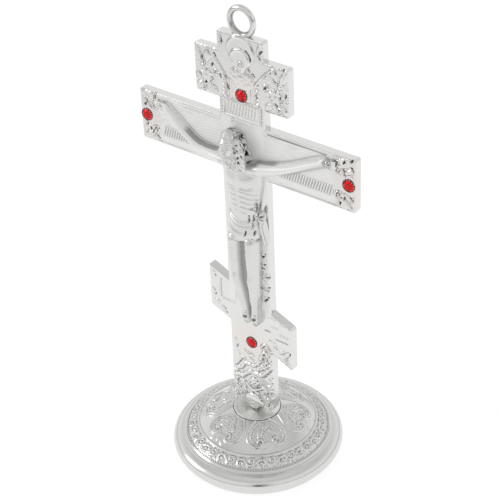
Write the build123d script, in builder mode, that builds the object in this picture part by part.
"""Standing three-bar crucifix: a cast cross with a figure, four set stones and a hanging ring,
screwed to a pressed and embossed round foot. Millimetres, +Z up, the cross faces -Y."""

import os
from math import cos, radians, sin, tan

from build123d import *

os.makedirs("parts", exist_ok=True)

# Fits shared by all pieces
bore_clearance = 0.15  # round a post, shank or wire in its hole
stone_clearance = 0.08  # round a stone in its cup
overrun = 1.0  # how far a cutting tool runs past the stock

# Foot: a pressed shell, open underneath
base_diameter = 78.4
shell_wall = 0.9
bead_radius = 4.4
bead_level = 4.4
bead_start_angle = 100.0
bead_end_angle = -60.0
band_radius = 27.2  # circle of the plain ring line between the two zones of ornament
band_level = 13.6
band_line_radius = 0.5
slope_sagitta = 0.7
dome_sagitta = 0.9
seat_level = 19.3  # flat floor of the recess that takes the hub disc
recess_depth = 1.0

# Heart palmettes embossed on the dome
heart_count = 6
heart_length = 17.4
heart_width = 16.4
heart_line = 0.9
heart_height = 0.45
heart_tip_radius = 6.6  # the tips would meet the axis under the hub disc
heart_start_angle = -100.0

# Dished hub disc in the recess of the shell
hub_diameter = 21.6
hub_floor = 0.7  # thickness under the foot of the cross
hub_rim = 1.5  # thickness at the raised edge
hub_edge = 0.6

# Screw, washers and the tapped boss that they pull on
screw_diameter = 3.0
screw_reach = 5.6  # length of thread in the boss
screw_head_diameter = 6.0
screw_head_height = 2.2
screw_slot_width = 0.9
screw_slot_depth = 1.0
flat_washer_diameter = 12.0
flat_washer_thickness = 1.0
spring_washer_diameter = 6.2
spring_washer_thickness = 0.8
spring_washer_gap = 0.7
boss_diameter = 6.6
boss_height = 7.4
boss_dome = 2.8

# Cross, seen from the front. Its levels are measured from its own top edge.
plate_thickness = 4.0
cross_height = 187.4  # from the hub disc to the top edge
shaft_width = 22.9
crossbar_length = 109.6
crossbar_height = 23.9
crossbar_drop = 50.1
upper_bar_length = 46.6
upper_bar_height = 21.2
upper_bar_drop = 19.1
footbar_length = 44.4
footbar_height = 22.1
footbar_slope = 22.7  # degrees, the end on the viewer's left is the higher one
footbar_lift = 1.1  # middle of the foot bar above the toes
corner_radius = 1.0
front_bevel = 0.5
back_bevel = 0.3

# Lobed lower end: two shoulders and a middle leaf that reaches the hub disc
lobe_gap = 2.2
lobe_width = 9.0
leaf_width = 7.6

# Sunk fields inside the borders of the crossbar and the foot bar
field_depth = 0.4
field_border = 1.8
crossbar_end_block = 11.4  # plain block that carries each end stone

# Halo and bust on the top block
halo_radius = 7.6
halo_drop = 8.6
halo_height = 0.6
bust_width = 15.0
bust_rise = 8.0
bust_relief = 1.9
bust_head_radius = 2.5

# Raised ornament: frames, leaves, flowers, rocks, and a skull over two bones
ornament_height = 0.6
ornament_line = 0.8
flower_diameter = 7.2
flower_petals = 8
petal_width = 1.7
rock_height = 0.8
rock_line = 1.7
bone_line = 1.3
skull_width = 5.4
skull_relief = 1.4
tongue_relief = 1.5  # the middle leaf in front of the foot boss
tongue_rise = 4.6

# Stones and their toothed settings, pressed into pockets of the plate
stone_diameter = 5.0
stone_table_share = 0.56
stone_sides = 12
pavilion_depth = 1.5
girdle_height = 0.25
crown_height = 0.8
cup_wall = 0.35
cup_floor = 0.4
claw_height = 0.35
claw_lean = 0.25
claw_notch_radius = 0.45
claw_notches = 4  # each cut crosses the cup, so it opens two gaps
cup_sink = 1.9  # how deep the cup sits in its pocket
top_stone_drop = 26.0
side_stone_inset = 3.2  # from the bar's end to the stone's axis
bottom_stone_drop = 12.9  # below the toes

# Hanging ring, brazed in a saddle of the top edge
ring_diameter = 14.0
ring_wire = 2.6
saddle_depth = 1.5

# Figure, cut flat at the back where it lies on the cross
toe_drop = 86.4  # from the crossbar's middle to the toes
shoulder_drop = 5.4
shoulder_reach = 9.4
hand_reach = 42.6
hand_rise = 7.6
finger_length = 3.3
foot_shift = 2.2  # the feet lie on the viewer's right of the axis
arm_width = 4.9
chest_width = 19.4
chest_relief = 6.2
thigh_width = 7.4
hip_reach = 4.2
head_height = 13.6
head_width = 8.0
head_relief = 6.4  # middle of the head in front of the plate
head_bow = 14.0  # degrees, towards the viewer's left
head_nod = 12.0
cloth_width = 20.0

# Domed nails through the hands and feet
nail_diameter = 1.0
nail_head_diameter = 2.4
nail_head_height = 0.8
nail_head_round = 0.6
nail_bite = 1.6
hand_seat = 1.7  # depth of the hand under a nail's head
foot_seat = 3.0
foot_nail_lift = 5.0  # above the toes

# Places that follow from the sizes above
base_radius = base_diameter / 2
hub_radius = hub_diameter / 2
cross_foot = seat_level + hub_floor
cross_top = cross_foot + cross_height
crossbar_level = cross_top - crossbar_drop
upper_bar_level = cross_top - upper_bar_drop
toe_level = crossbar_level - toe_drop
shoulder_level = crossbar_level - shoulder_drop
hand_level = crossbar_level + hand_rise
footbar_level = toe_level + footbar_lift
footbar_rise = footbar_length / 2 * tan(radians(footbar_slope))
half_plate = plate_thickness / 2
half_shaft = shaft_width / 2
stone_radius = stone_diameter / 2
cup_radius = stone_radius + stone_clearance + cup_wall
front_plane = Plane.XZ.offset(half_plate)
back_plane = Plane.XZ.offset(-half_plate)
side_stone_reach = crossbar_length / 2 - side_stone_inset
stone_places = {
    "top": (0, cross_top - top_stone_drop),
    "left": (-side_stone_reach, crossbar_level),
    "right": (side_stone_reach, crossbar_level),
    "bottom": (0, toe_level - bottom_stone_drop),
}
body_length = shoulder_level - toe_level
foot_reach_share = 0.55
lean_start_share = 0.5  # of the body's length above the toes, where the legs start to lean


def leg_shift(up_share):
    """How far the leaning legs are off the axis at a share of the body's length above the toes."""
    return foot_shift * max(0, 1 - up_share / lean_start_share)


foot_nail_reach = hip_reach * foot_reach_share
foot_nail_shift = leg_shift(foot_nail_lift / body_length)
nail_places = {
    "left_hand": (-hand_reach, hand_level, hand_seat),
    "right_hand": (hand_reach, hand_level, hand_seat),
    "left_foot": (foot_nail_shift - foot_nail_reach, toe_level + foot_nail_lift, foot_seat),
    "right_foot": (foot_nail_shift + foot_nail_reach, toe_level + foot_nail_lift, foot_seat),
}


def on_front(x, level, depth=0):
    """A point in front of the plate's face, depth measured out of it."""
    return Vector(x, -half_plate - depth, level)


def facing_front(x, level, depth=0):
    """A plane that faces the viewer, at a depth in front of the plate."""
    return Plane(origin=on_front(x, level, depth), x_dir=(1, 0, 0), z_dir=(0, -1, 0))


def egg(center, half_sizes, turn=(0, 0, 0)):
    """Add an ellipsoid with three half sizes, turned about its middle."""
    ball = scale(Sphere(1, mode=Mode.PRIVATE), by=half_sizes, mode=Mode.PRIVATE)
    add(Location(center, turn) * ball)


# Cross body
footbar_corners = [
    (-footbar_length / 2, footbar_level + footbar_rise - footbar_height / 2),
    (footbar_length / 2, footbar_level - footbar_rise - footbar_height / 2),
    (footbar_length / 2, footbar_level - footbar_rise + footbar_height / 2),
    (-footbar_length / 2, footbar_level + footbar_rise + footbar_height / 2),
]
shaft_foot = cross_foot + lobe_gap + lobe_width / 2
shaft_length = cross_top - shaft_foot
lobe_reach = half_shaft - lobe_width / 2
field_length = crossbar_length / 2 - half_shaft - crossbar_end_block
field_middle = half_shaft + field_length / 2
ring_radius = (ring_diameter - ring_wire) / 2
ring_level = cross_top - saddle_depth + ring_diameter / 2

# Raised lines round the top stone, in shares of the shaft's half width and the upper bar's half height
frame_shares = (
    ((0, -0.075), (0.46, -0.075), (0.46, -0.906)),
    ((0, -1.63), (0.81, -1.63), (0.81, -0.906), (0, -0.906)),
    ((1.20, 0.93), (0.49, -0.066)),
)
flower_shares = (0.74, -0.245)
# Leaves: base, both edges at the widest part, and tip, in shares of a bar's half length and half height
upper_leaf_shares = (
    ((0.86, -0.56), (0.95, -0.66), (0.88, -0.78), (0.96, -0.92)),
    ((0.86, 0.14), (0.95, 0.48), (0.87, 0.55), (0.96, 0.90)),
    ((0.63, -0.56), (0.63, -0.80), (0.55, -0.68), (0.54, -0.92)),
    ((0.70, 0.16), (0.78, 0.52), (0.68, 0.52), (0.72, 0.90)),
)
end_leaf_shares = (
    ((0.875, 0.50), (0.940, 0.60), (0.905, 0.76), (0.975, 0.90)),
    ((0.870, 0.80), (0.905, 0.90), (0.910, 0.80), (0.945, 0.93)),
    ((0.905, 0.32), (0.950, 0.40), (0.935, 0.54), (0.985, 0.64)),
)
lobe_leaf_shares = (
    ((0.52, 0.89), (0.50, 0.62), (0.72, 0.66), (0.70, 0.40)),
    ((0.84, 1.24), (0.78, 0.98), (0.96, 1.00), (0.93, 0.75)),
)
leaf_groups = (
    (upper_leaf_shares, upper_bar_length / 2, upper_bar_height / 2, upper_bar_level, (1,)),
    (end_leaf_shares, crossbar_length / 2, crossbar_height / 2, crossbar_level, (-1, 1)),
    (lobe_leaf_shares, half_shaft, half_shaft, cross_foot, (1,)),
)
# Rocks, bones and skull, in shares of the shaft's half width and of its width above the hub disc
rock_shares = (
    ((-0.88, 0.69), (-0.69, 0.71), (-0.44, 0.75), (-0.17, 0.895), (0.10, 0.92), (0.30, 0.915), (0.88, 1.20)),
    ((-0.81, 0.81), (-0.54, 0.95), (-0.31, 1.065), (-0.13, 1.09), (0.11, 1.11), (0.31, 1.18)),
    ((0.40, 1.29), (0.50, 1.48), (0.66, 1.58), (0.86, 1.44), (0.66, 1.30)),
)
bone_shares = (((-0.45, 0.61), (-0.10, 0.53), (0.22, 0.44)), ((0.48, 0.63), (0.16, 0.54), (-0.18, 0.44)))
skull_shares = (((0.07, 0.70), 1.0), ((0.07, 0.60), 0.62))

with BuildPart() as cross_body:
    with BuildSketch(back_plane) as outline:
        with Locations((0, shaft_foot + shaft_length / 2)):
            Rectangle(shaft_width, shaft_length)
        with Locations((0, crossbar_level)):
            Rectangle(crossbar_length, crossbar_height)
        with Locations((0, upper_bar_level)):
            Rectangle(upper_bar_length, upper_bar_height)
        with BuildLine():
            Polyline(footbar_corners, close=True)
        make_face()
        fillet(outline.vertices().sort_by(Axis.Z)[2:], corner_radius)
    extrude(amount=plate_thickness)
    chamfer(cross_body.faces().sort_by(Axis.Y)[0].edges(), front_bevel)
    chamfer(cross_body.faces().sort_by(Axis.Y)[-1].edges(), back_bevel)
    with BuildSketch(back_plane):
        with Locations((-lobe_reach, shaft_foot), (lobe_reach, shaft_foot)):
            Circle(lobe_width / 2)
        with Locations((0, shaft_foot)):
            Ellipse(leaf_width / 2, shaft_foot - cross_foot)
    extrude(amount=plate_thickness)

    # Sunk fields: both arms of the crossbar and both ends of the foot bar
    with BuildSketch(front_plane):
        with Locations((-field_middle, crossbar_level), (field_middle, crossbar_level)):
            RectangleRounded(field_length, crossbar_height - 2 * field_border, corner_radius)
    extrude(amount=-field_depth, mode=Mode.SUBTRACT)
    for side in (-1, 1):
        with BuildSketch(front_plane):
            with BuildLine():
                Polyline(footbar_corners, close=True)
            make_face()
            offset(amount=-field_border, mode=Mode.REPLACE)
            with Locations((side * (half_shaft + footbar_length) / 2, footbar_level)):
                Rectangle(
                    footbar_length - half_shaft, footbar_length + footbar_height, mode=Mode.INTERSECT
                )
        extrude(amount=-field_depth, mode=Mode.SUBTRACT)

    # Halo and bust
    with BuildSketch(front_plane):
        with Locations((0, cross_top - halo_drop)):
            Circle(halo_radius)
    extrude(amount=halo_height)
    bust_level = cross_top - halo_drop - bust_rise
    bust_depth_shares = (0, 0.55, 1.0)
    bust_width_shares = (1.0, 0.86, 0.5)
    for depth_share, width_share in zip(bust_depth_shares, bust_width_shares):
        with BuildSketch(front_plane.offset(depth_share * bust_relief)):
            with Locations((0, bust_level)):
                Ellipse(width_share * bust_width / 2, width_share * bust_rise / 2)
    loft()
    with Locations(on_front(0, cross_top - halo_drop - bust_head_radius / 2, halo_height)):
        Sphere(bust_head_radius)

    # Frames of the top stone and the plaque, and the sides of the diamond round the halo
    with BuildSketch(front_plane):
        for run_shares in frame_shares:
            for side in (-1, 1):
                with BuildLine():
                    Polyline(
                        *[
                            (side * out * half_shaft, upper_bar_level + up * upper_bar_height / 2)
                            for out, up in run_shares
                        ]
                    )
                trace(line_width=ornament_line)
    extrude(amount=ornament_height)

    # Flowers and leaves in the ends of the bars and in the lobes
    with BuildSketch(front_plane):
        for places_shares, half_length, half_height, level, ups in leaf_groups:
            for side in (-1, 1):
                for up in ups:
                    for base_shares, middle_shares, other_shares, tip_shares in places_shares:
                        base, middle, other, tip = [
                            (side * out * half_length, level + up * rise * half_height)
                            for out, rise in (base_shares, middle_shares, other_shares, tip_shares)
                        ]
                        with BuildLine():
                            ThreePointArc(base, middle, tip)
                            ThreePointArc(tip, other, base)
                        make_face()
        for side in (-1, 1):
            flower_place = (
                side * flower_shares[0] * upper_bar_length / 2,
                upper_bar_level + flower_shares[1] * upper_bar_height / 2,
            )
            with Locations(flower_place):
                with PolarLocations(flower_diameter / 4, flower_petals):
                    Ellipse(flower_diameter / 4, petal_width / 2)
    extrude(amount=ornament_height)

    # Rocks over the skull, the two bones, and the middle leaf in front of the boss
    for runs_shares, width, height in (
        (rock_shares, rock_line, rock_height),
        (bone_shares, bone_line, ornament_height),
    ):
        with BuildSketch(front_plane):
            for run_shares in runs_shares:
                with BuildLine():
                    Spline(*[(out * half_shaft, cross_foot + up * shaft_width) for out, up in run_shares])
                trace(line_width=width)
        extrude(amount=height)
    half_skull = skull_width / 2
    for (out, up), size_share in skull_shares:
        skull_place = on_front(out * half_shaft, cross_foot + up * shaft_width)
        egg(skull_place, (size_share * half_skull, skull_relief, size_share * half_skull))
    egg(on_front(0, cross_foot + tongue_rise), (leaf_width / 2, tongue_relief, tongue_rise))

    # Foot boss with its tapped hole
    with BuildSketch(Plane.XY.offset(cross_foot)):
        Circle(boss_diameter / 2)
    extrude(amount=boss_height - boss_dome)
    with BuildSketch(Plane.XY.offset(cross_foot + boss_height - boss_dome)):
        Circle(boss_diameter / 2)
    with BuildSketch(Plane.XY.offset(cross_foot + boss_height)):
        Circle(half_plate)
    loft()
    with BuildSketch(Plane.XY.offset(cross_foot)):
        Circle(screw_diameter / 2 + bore_clearance)
    extrude(amount=screw_reach + overrun, mode=Mode.SUBTRACT)

    # Pockets of the settings, nail holes and the saddle of the ring
    with BuildSketch(front_plane.offset(ornament_height)):
        with Locations(*stone_places.values()):
            Circle(cup_radius + bore_clearance)
    extrude(amount=-(ornament_height + cup_sink), mode=Mode.SUBTRACT)
    with BuildSketch(front_plane):
        with Locations(*[(x, level) for x, level, seat in nail_places.values()]):
            Circle(nail_diameter / 2 + bore_clearance)
    extrude(amount=-(nail_bite + bore_clearance), mode=Mode.SUBTRACT)
    with BuildSketch(Plane.YZ):
        with Locations((0, ring_level - ring_radius)):
            Circle(ring_wire / 2 + bore_clearance)
    revolve(axis=Axis((0, 0, ring_level), (0, 1, 0)), mode=Mode.SUBTRACT)
cross_body.part.label = "cross_body"
export_step(cross_body.part, "parts/cross_body.step")

# Hanging ring
with BuildPart() as hanging_ring:
    with BuildSketch(Plane.YZ):
        with Locations((0, ring_level - ring_radius)):
            Circle(ring_wire / 2)
    revolve(axis=Axis((0, 0, ring_level), (0, 1, 0)))
hanging_ring.part.label = "hanging_ring"
export_step(hanging_ring.part, "parts/hanging_ring.step")

# Settings: a toothed cup. Stones: table, crown, girdle and pavilion. Levels count from the plate's face.
cup_foot = -cup_sink
girdle_level = cup_foot + cup_floor + pavilion_depth
for side, (x, level) in stone_places.items():
    axis = Axis(on_front(x, level), (0, -1, 0))
    seat_radius = stone_radius + stone_clearance
    with BuildPart() as setting:
        with BuildSketch(Plane(origin=on_front(x, level), x_dir=(1, 0, 0), z_dir=(0, 0, -1))):
            with BuildLine():
                Polyline(
                    (0, cup_foot),
                    (cup_radius, cup_foot),
                    (cup_radius, girdle_level + girdle_height),
                    (cup_radius - claw_lean, girdle_level + girdle_height + claw_height),
                    (seat_radius - claw_lean, girdle_level + girdle_height + claw_height),
                    (seat_radius, girdle_level + girdle_height),
                    (seat_radius, girdle_level - stone_clearance),
                    (0, cup_foot + cup_floor - stone_clearance),
                    close=True,
                )
            make_face()
        revolve(axis=axis)
        notch_plane = facing_front(x, level, girdle_level + girdle_height + claw_height)
        for turn in range(claw_notches):
            angle = turn * 180 / claw_notches
            notch_axis = Vector(cos(radians(angle)), 0, sin(radians(angle)))
            notch_start = notch_plane.origin - notch_axis * cup_radius
            with BuildSketch(Plane(origin=notch_start, z_dir=notch_axis)):
                Circle(claw_notch_radius)
            extrude(amount=2 * cup_radius, mode=Mode.SUBTRACT)
    setting.part.label = f"{side}_setting"
    export_step(setting.part, f"parts/{side}_setting.step")

    with BuildPart() as stone:
        with BuildSketch(facing_front(x, level, girdle_level)) as girdle:
            RegularPolygon(stone_radius, stone_sides)
        extrude(amount=girdle_height)
        with BuildSketch(facing_front(x, level, girdle_level + girdle_height)):
            RegularPolygon(stone_radius, stone_sides)
        with BuildSketch(facing_front(x, level, girdle_level + girdle_height + crown_height)):
            RegularPolygon(stone_radius * stone_table_share, stone_sides)
        loft(ruled=True)
        culet = Vertex(on_front(x, level, cup_foot + cup_floor))
        loft(sections=[girdle.sketch.faces()[0], culet], ruled=True)
    stone.part.label = f"{side}_stone"
    export_step(stone.part, f"parts/{side}_stone.step")


# Corpus
def limb(centers, radii, flatness_share=1.0):
    """Loft one smooth limb through round or flattened sections set square to its run."""
    last = len(centers) - 1
    sections = []
    for index, (center, radius) in enumerate(zip(centers, radii)):
        run = centers[min(index + 1, last)] - centers[max(index - 1, 0)]
        with BuildSketch(Plane(origin=center, x_dir=(0, -1, 0), z_dir=run)) as section:
            Ellipse(radius * flatness_share, radius)
        sections.append(section.sketch.face())
    loft(sections=sections)


half_chest = chest_width / 2

# Shares of the body's length, the chest's width and its relief, from the hips to the neck
torso_shares = (
    (0.49, 0.72, 0.62),
    (0.57, 0.86, 0.74),
    (0.71, 0.76, 0.66),
    (0.83, 0.90, 0.90),
    (0.92, 1.00, 1.00),
    (1.00, 0.94, 0.80),
    (1.05, 0.42, 0.52),
)
# Shares along the reach and the rise from shoulder to palm, then of the arm's width
left_arm_shares = (
    (-0.14, -0.04, 0.42, 0.52),
    (0.10, -0.06, 0.46, 0.54),
    (0.36, 0.02, 0.40, 0.45),
    (0.55, 0.28, 0.40, 0.43),
    (0.76, 0.68, 0.36, 0.35),
    (0.92, 0.96, 0.26, 0.26),
)
right_arm_shares = (
    (-0.14, -0.04, 0.42, 0.52),
    (0.10, 0.02, 0.46, 0.54),
    (0.36, 0.34, 0.40, 0.45),
    (0.55, 0.66, 0.40, 0.43),
    (0.76, 0.90, 0.36, 0.35),
    (0.92, 1.00, 0.26, 0.26),
)
# Shares of the body's length, of the hips' reach, and of the thigh's width twice
leg_shares = (
    (0.56, 1.00, 0.34, 0.52),
    (0.44, 1.00, 0.40, 0.50),
    (0.32, 0.92, 0.46, 0.40),
    (0.22, 0.84, 0.36, 0.40),
    (0.12, 0.66, 0.30, 0.28),
    (0.075, 0.58, 0.30, 0.25),
)
foot_shares = (
    (0.095, 0.60, 0.28, 0.24),
    (0.06, 0.55, 0.32, 0.27),
    (0.03, 0.54, 0.40, 0.26),
    (0.00, 0.52, 0.40, 0.13),
)
palm_depth_share = 0.30
palm_shares = (0.30, 0.38, 0.36, 0.20)
palm_reach_shares = (-1.0, -0.2, 0.5, 1.0)
palm_flatness_share = 0.62
# Place of the head's middle, and shares of its half sizes: skull, then the mass of hair
head_lift_share = 1.28
head_shift_share = -0.30
head_shares = (((0, 0, 0), (1.0, 1.15, 0.97)), ((0.1, -0.36, 0.2), (1.16, 1.15, 0.92)))
neck_depth_share = 0.4
neck_share = 0.72
# Beard, nose and two locks of hair: across, out of the face, up, and thickness
strand_tables_shares = (
    ((0, 0.36, -0.45, 0.72), (0, 0.42, -0.85, 0.60), (0, 0.40, -1.32, 0.20)),
    ((0, 1.02, 0.16, 0.10), (0, 1.20, -0.04, 0.15), (0, 1.22, -0.18, 0.17)),
    ((-0.85, -0.3, 0.2, 0.48), (-1.05, -0.35, -0.7, 0.44), (-1.15, -0.5, -1.35, 0.22)),
    ((0.90, -0.3, 0.2, 0.50), (1.20, -0.3, -0.75, 0.52), (1.35, -0.4, -1.5, 0.26)),
)
# Loincloth: level, width and relief of its folds and their rise across the hips, then knot and fall
cloth_shares = (
    (0.690, 0.78, 0.80, 0.06),
    (0.668, 0.85, 0.88, 0.10),
    (0.650, 0.83, 0.85, 0.14),
    (0.625, 0.92, 0.97, 0.18),
    (0.605, 0.90, 0.93, 0.22),
    (0.580, 0.97, 1.04, 0.26),
    (0.560, 0.93, 0.97, 0.29),
    (0.540, 0.94, 0.99, 0.32),
)
knot_shares = (1.02, 0.73, 0.42)
knot_size_shares = (0.24, 0.20, 0.26)
fall_shares = ((1.02, 0.72, 0.42, 0.14), (1.08, 0.64, 0.32, 0.19), (1.12, 0.545, 0.22, 0.14))

half_head = head_height / 2
half_face = head_width / 2
half_cloth = cloth_width / 2
head_center = on_front(
    head_shift_share * head_width, shoulder_level + head_lift_share * half_head, head_relief
)
head_turn = (-head_nod, -head_bow, 0)
head_frame = Plane(Location(head_center, head_turn))


def on_head(across_share, out_share, up_share):
    """A point in the head's own directions, in shares of its half sizes."""
    return head_frame.from_local_coords(
        (across_share * half_face, -out_share * half_face, up_share * half_head)
    )


with BuildPart() as corpus:
    for level_share, width_share, relief_share in torso_shares:
        level = toe_level + level_share * body_length
        with BuildSketch(Plane.XY.offset(level)):
            with Locations((0, -half_plate)):
                Ellipse(width_share * half_chest, relief_share * chest_relief)
    loft()
    for side, arm_shares in ((-1, left_arm_shares), (1, right_arm_shares)):
        arm_reach = hand_reach - shoulder_reach
        arm_rise = hand_level - shoulder_level
        centers = [
            on_front(
                side * (shoulder_reach + along * arm_reach),
                shoulder_level + up * arm_rise,
                depth * arm_width,
            )
            for along, up, depth, share in arm_shares
        ]
        limb(centers, [share * arm_width for along, up, depth, share in arm_shares])
        palm_centers = [
            on_front(
                side * (hand_reach + share * finger_length),
                hand_level,
                palm_depth_share * arm_width,
            )
            for share in palm_reach_shares
        ]
        limb(palm_centers, [share * arm_width for share in palm_shares], palm_flatness_share)
        for shares in (leg_shares, foot_shares):
            centers = [
                on_front(
                    side * reach * hip_reach + leg_shift(up),
                    toe_level + up * body_length,
                    depth * thigh_width,
                )
                for up, reach, depth, share in shares
            ]
            limb(centers, [share * thigh_width for up, reach, depth, share in shares])

    # Head, hair, neck, beard, locks and nose, bowed towards the viewer's left
    for center_shares, size_shares in head_shares:
        across_share, out_share, up_share = size_shares
        half_sizes = (across_share * half_face, out_share * half_face, up_share * half_head)
        egg(on_head(*center_shares), half_sizes, head_turn)
    neck_foot = on_front(0, shoulder_level - half_face, neck_depth_share * head_relief)
    limb([neck_foot, head_center], [neck_share * half_face] * 2)
    for strand_shares in strand_tables_shares:
        limb(
            [on_head(across, out, up) for across, out, up, share in strand_shares],
            [share * half_face for across, out, up, share in strand_shares],
        )

    # Loincloth with its knot and fall
    for level_share, width_share, relief_share, slope_share in cloth_shares:
        fold_plane = Plane(
            origin=(0, -half_plate, toe_level + level_share * body_length),
            x_dir=(1, 0, slope_share),
            z_dir=(-slope_share, 0, 1),
        )
        with BuildSketch(fold_plane):
            Ellipse(width_share * half_cloth, relief_share * chest_relief)
    loft()
    knot_across_share, knot_up_share, knot_depth_share = knot_shares
    knot = on_front(
        knot_across_share * half_cloth,
        toe_level + knot_up_share * body_length,
        knot_depth_share * chest_relief,
    )
    egg(knot, tuple(share * half_cloth for share in knot_size_shares))
    limb(
        [
            on_front(across * half_cloth, toe_level + up * body_length, depth * chest_relief)
            for across, up, depth, share in fall_shares
        ],
        [share * half_cloth for across, up, depth, share in fall_shares],
    )

    # Flat back, nail holes and the seats of the nail heads
    split(bisect_by=front_plane, keep=Keep.TOP)
    for x, level, seat in nail_places.values():
        with BuildSketch(facing_front(x, level)):
            Circle(nail_diameter / 2 + bore_clearance)
        extrude(amount=seat + overrun, mode=Mode.SUBTRACT)
        with BuildSketch(facing_front(x, level, seat)):
            Circle(nail_head_diameter / 2 + bore_clearance)
        extrude(amount=chest_relief, mode=Mode.SUBTRACT)
corpus.part.label = "corpus"
export_step(corpus.part, "parts/corpus.step")

# Nails
for place, (x, level, seat) in nail_places.items():
    with BuildPart() as nail:
        with BuildSketch(facing_front(x, level, -nail_bite)):
            Circle(nail_diameter / 2)
        extrude(amount=nail_bite + seat)
        with BuildSketch(facing_front(x, level, seat)):
            Circle(nail_head_diameter / 2)
        extrude(amount=nail_head_height)
        fillet(nail.faces().sort_by(Axis.Y)[0].edges(), nail_head_round)
    nail.part.label = f"{place}_nail"
    export_step(nail.part, f"parts/{place}_nail.step")

# Base shell
bead_center = Vector(base_radius - bead_radius, bead_level)


def on_bead(angle):
    return bead_center + Vector(cos(radians(angle)), sin(radians(angle))) * bead_radius


foot_edge = on_bead(bead_end_angle)
recess_radius = hub_radius + bore_clearance
dome_level = seat_level + recess_depth
dome_start = Vector(recess_radius, dome_level)
dome_end = Vector(band_radius, band_level)
screw_bore = screw_diameter / 2 + bore_clearance
# Shares of a heart's length and width, from the tip at the hub round one lobe to the notch
heart_shares = ((0, 0), (0.36, 0.36), (0.74, 0.50), (1.0, 0.27), (0.86, 0))
heart_middle = heart_length / 2
with BuildSketch() as heart:
    for size_share, mode in ((1, Mode.ADD), (1 - 2 * heart_line / heart_width, Mode.SUBTRACT)):
        with BuildLine():
            for half in (-1, 1):
                tip, flank, side, lobe, notch = [
                    (
                        heart_middle + (along * heart_length - heart_middle) * size_share,
                        half * out * heart_width * size_share,
                    )
                    for along, out in heart_shares
                ]
                ThreePointArc(tip, flank, side)
                ThreePointArc(side, lobe, notch)
        make_face(mode=mode)

with BuildPart() as heart_relief:
    with BuildSketch():
        with PolarLocations(heart_tip_radius, heart_count, start_angle=heart_start_angle):
            add(heart.sketch)
    extrude(amount=dome_level + overrun)
    with BuildSketch(Plane.XZ):
        with BuildLine():
            low = Vector(0, -shell_wall / 2)
            high = Vector(0, heart_height)
            upper = SagittaArc(dome_start + high, dome_end + high, dome_sagitta)
            lower = SagittaArc(dome_start + low, dome_end + low, dome_sagitta)
            Line(upper @ 0, lower @ 0)
            Line(upper @ 1, lower @ 1)
        make_face()
    revolve(axis=Axis.Z, mode=Mode.INTERSECT)

with BuildPart() as base_shell:
    with BuildSketch(Plane.XZ):
        with BuildLine():
            Polyline((screw_bore, seat_level), (recess_radius, seat_level), dome_start)
            SagittaArc(dome_start, dome_end, dome_sagitta)
            SagittaArc(dome_end, on_bead(bead_start_angle), slope_sagitta)
            CenterArc(bead_center, bead_radius, bead_start_angle, bead_end_angle - bead_start_angle)
            Line(foot_edge, (foot_edge.X, 0))
            offset(amount=shell_wall, side=Side.RIGHT)
        make_face()
        with Locations(dome_end):
            Circle(band_line_radius)
    revolve(axis=Axis.Z)
    add(heart_relief.part)
base_shell.part.label = "base_shell"
export_step(base_shell.part, "parts/base_shell.step")

# Hub disc
with BuildPart() as hub_disc:
    with BuildSketch(Plane.XZ):
        with BuildLine():
            Polyline(
                (boss_diameter / 2, cross_foot),
                (screw_bore, cross_foot),
                (screw_bore, seat_level),
                (hub_radius, seat_level),
                (hub_radius, seat_level + hub_rim - hub_edge),
            )
            RadiusArc(
                (hub_radius, seat_level + hub_rim - hub_edge),
                (hub_radius - hub_edge, seat_level + hub_rim),
                -hub_edge,
            )
            Line((hub_radius - hub_edge, seat_level + hub_rim), (boss_diameter / 2, cross_foot))
        make_face()
    revolve(axis=Axis.Z)
hub_disc.part.label = "hub_disc"
export_step(hub_disc.part, "parts/hub_disc.step")

# Washers and screw, stacked under the seat
flat_washer_level = seat_level - shell_wall - flat_washer_thickness
spring_washer_level = flat_washer_level - spring_washer_thickness
with BuildPart() as flat_washer:
    with BuildSketch(Plane.XY.offset(flat_washer_level)):
        Circle(flat_washer_diameter / 2)
        Circle(screw_bore, mode=Mode.SUBTRACT)
    extrude(amount=flat_washer_thickness)
flat_washer.part.label = "flat_washer"
export_step(flat_washer.part, "parts/flat_washer.step")

with BuildPart() as spring_washer:
    with BuildSketch(Plane.XY.offset(spring_washer_level)):
        Circle(spring_washer_diameter / 2)
        Circle(screw_bore, mode=Mode.SUBTRACT)
        with Locations((spring_washer_diameter / 2, 0)):
            Rectangle(spring_washer_diameter, spring_washer_gap, mode=Mode.SUBTRACT)
    extrude(amount=spring_washer_thickness)
spring_washer.part.label = "spring_washer"
export_step(spring_washer.part, "parts/spring_washer.step")

with BuildPart() as fixing_screw:
    with BuildSketch(Plane.XY.offset(spring_washer_level - screw_head_height)):
        Circle(screw_head_diameter / 2)
    extrude(amount=screw_head_height)
    fillet(fixing_screw.faces().sort_by(Axis.Z)[0].edges(), screw_head_height / 2)
    with BuildSketch(Plane.XY.offset(spring_washer_level)):
        Circle(screw_diameter / 2)
    extrude(amount=cross_foot - spring_washer_level + screw_reach)
    with BuildSketch(Plane.XY.offset(spring_washer_level - screw_head_height)):
        Rectangle(screw_head_diameter, screw_slot_width)
    extrude(amount=screw_slot_depth, mode=Mode.SUBTRACT)
fixing_screw.part.label = "fixing_screw"
export_step(fixing_screw.part, "parts/fixing_screw.step")
